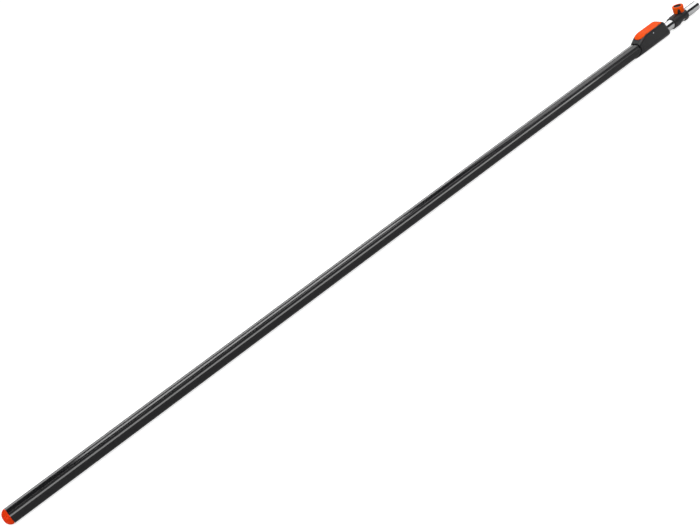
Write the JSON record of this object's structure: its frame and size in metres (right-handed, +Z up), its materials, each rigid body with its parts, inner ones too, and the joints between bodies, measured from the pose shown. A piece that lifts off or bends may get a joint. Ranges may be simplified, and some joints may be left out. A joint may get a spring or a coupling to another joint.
{
  "type": "telescopic tool handle",
  "caption": "Telescopic pole handle for garden tools: coated outer tube, lock housing with release lever, sliding chromed tube and a clamp screw at the tool socket.",
  "frame": {"origin": "under the middle of the retracted pole, on the surface that the housing's underside rests on", "axes": "+X along the pole towards the tool end, +Z up with the release lever on top"},
  "size_m": [2.102, 0.036, 0.0509],
  "materials": {
    "black_coat": "satin black coating on an aluminium tube",
    "black_moulding": "finely textured black moulded plastic",
    "orange_plastic": "satin orange moulded plastic",
    "chromed_tube": "bright chromed steel tube",
    "bright_steel": "bright zinc-plated steel",
    "turned_brass": "turned brass",
    "pale_nylon": "natural nylon"
  },
  "bodies": {
    "handle": {"outer_tube": "black_coat", "end_cap": "orange_plastic", "lock_housing": "black_moulding", "guide_bush": "pale_nylon", "lever_pin": "bright_steel", "housing_screw_1": "bright_steel", "housing_screw_2": "bright_steel", "lever_spring": "bright_steel"},
    "lever": {"release_lever": "orange_plastic"},
    "bolt": {"lock_bolt": "bright_steel"},
    "extension": {"inner_tube": "chromed_tube", "socket_tube": "chromed_tube", "tail_bush": "pale_nylon", "tail_rivet_1": "bright_steel", "tail_rivet_2": "bright_steel", "coupling_sleeve": "black_moulding", "screw_insert": "turned_brass", "socket_stop": "pale_nylon"},
    "pad": {"thrust_pad": "turned_brass"},
    "screw": {"clamp_screw": "bright_steel", "thumb_knob": "orange_plastic"}
  },
  "joints": [
    {"name": "telescope_slide", "type": "slide", "parent": "handle", "child": "extension", "axis": [1, 0, 0], "range_m": [0, 1.82]},
    {"name": "lever_pivot", "type": "hinge", "parent": "handle", "child": "lever", "pos_m": [0.862, 0, 0.0388], "axis": [0, -1, 0], "range_deg": [-4.5, 3], "stiffness_Nm_per_rad": 1.5, "springref_deg": -6.88, "deforming": ["lever_spring"]},
    {"name": "bolt_slide", "type": "slide", "parent": "handle", "child": "bolt", "axis": [0, 0, 1], "range_m": [-0.0024, 0.0017]},
    {"name": "clamp_pad_slide", "type": "slide", "parent": "extension", "child": "pad", "axis": [0, 0, 1], "range_m": [0, 0.0071]},
    {"name": "screw_turn", "type": "hinge", "parent": "pad", "child": "screw", "pos_m": [0.9855, 0, 0.0388], "axis": [0, 0, 1], "range_deg": [0, 1440]}
  ],
  "couplings": [
    {"joint": "bolt_slide", "follows": "lever_pivot", "m_per_rad": 0.029},
    {"joint": "clamp_pad_slide", "follows": "screw_turn", "m_per_rad": 0.00027852}
  ]
}
